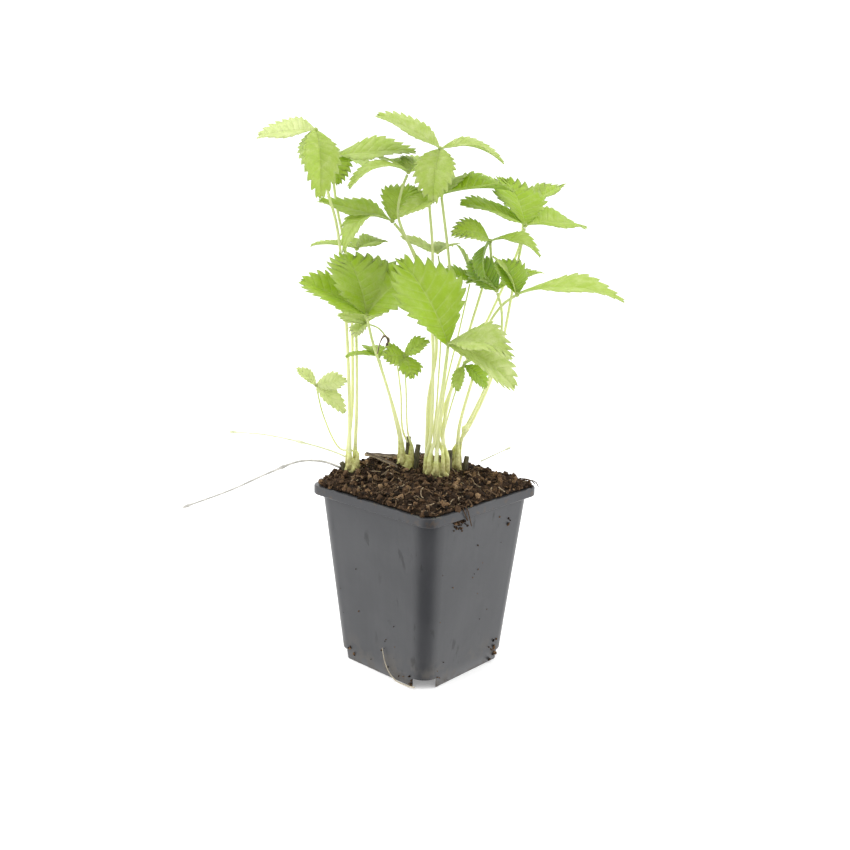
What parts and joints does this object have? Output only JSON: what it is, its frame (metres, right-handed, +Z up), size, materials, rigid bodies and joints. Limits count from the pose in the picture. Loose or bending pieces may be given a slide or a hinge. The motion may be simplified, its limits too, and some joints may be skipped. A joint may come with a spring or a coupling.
{
  "type": "potted wild strawberry plant",
  "caption": "Young wild strawberry with three-part toothed leaves and runners, growing in a square tapered nursery pot of peat.",
  "frame": {"origin": "centre of the pot's foot, on the table", "axes": "+Z up through the pot, +X and +Y square to the pot's flat sides; the corner towards +X and -Y is the one the plant is seen from"},
  "size_m": [0.193, 0.1832, 0.2963],
  "materials": {
    "pot_plastic": "satin dark grey polypropylene with scuffs and peat dust",
    "peat": "damp fibrous peat, crumbly and fully matte",
    "crown": "fibrous crown with dry brown leaf bases",
    "leaf_stalk": "pale green stalk, slightly translucent",
    "leaf_blade": "fresh green leaf with sunk veins, soft sheen, light shows through",
    "runner": "thin dry runner, greyish",
    "dry_stalk": "dead brown stalk and bract",
    "root": "pale fine root"
  },
  "bodies": {
    "root": {"pot": "pot_plastic", "peat": "peat", "crown_main": "crown", "crown_second": "crown", "crown_left": "crown", "crown_right": "crown", "stalk_top_left": "leaf_stalk", "blade_top_left": "leaf_blade", "stalk_upper_left": "leaf_stalk", "blade_upper_left": "leaf_blade", "stalk_left_back": "leaf_stalk", "blade_left_back": "leaf_blade", "stalk_daughter": "leaf_stalk", "blade_daughter": "leaf_blade", "stalk_left_middle": "leaf_stalk", "blade_left_middle": "leaf_blade", "stalk_upper_middle": "leaf_stalk", "blade_upper_middle": "leaf_blade", "stalk_front_left": "leaf_stalk", "blade_front_left": "leaf_blade", "stalk_young_front": "leaf_stalk", "blade_young_front": "leaf_blade", "stalk_young_left": "leaf_stalk", "blade_young_left": "leaf_blade", "stalk_low_left": "leaf_stalk", "blade_low_left": "leaf_blade", "stalk_front": "leaf_stalk", "blade_front": "leaf_blade", "stalk_top": "leaf_stalk", "blade_top": "leaf_blade", "stalk_top_front": "leaf_stalk", "blade_top_front": "leaf_blade", "stalk_inner_small": "leaf_stalk", "blade_inner_small": "leaf_blade", "stalk_inner_right": "leaf_stalk", "blade_inner_right": "leaf_blade", "stalk_low_right": "leaf_stalk", "blade_low_right": "leaf_blade", "stalk_right_inner": "leaf_stalk", "blade_right_inner": "leaf_blade", "stalk_right_back": "leaf_stalk", "blade_right_back": "leaf_blade", "stalk_right_high": "leaf_stalk", "blade_right_high": "leaf_blade", "stalk_right_front": "leaf_stalk", "blade_right_front": "leaf_blade", "stalk_right_low": "leaf_stalk", "blade_right_low": "leaf_blade", "runner_long": "runner", "runner_upper": "runner", "runner_right": "runner", "dry_stalk_upper": "dry_stalk", "dry_stalk_lower": "dry_stalk", "dry_stalk_back": "dry_stalk", "stray_root": "root", "curled_bract": "dry_stalk"}
  },
  "joints": []
}
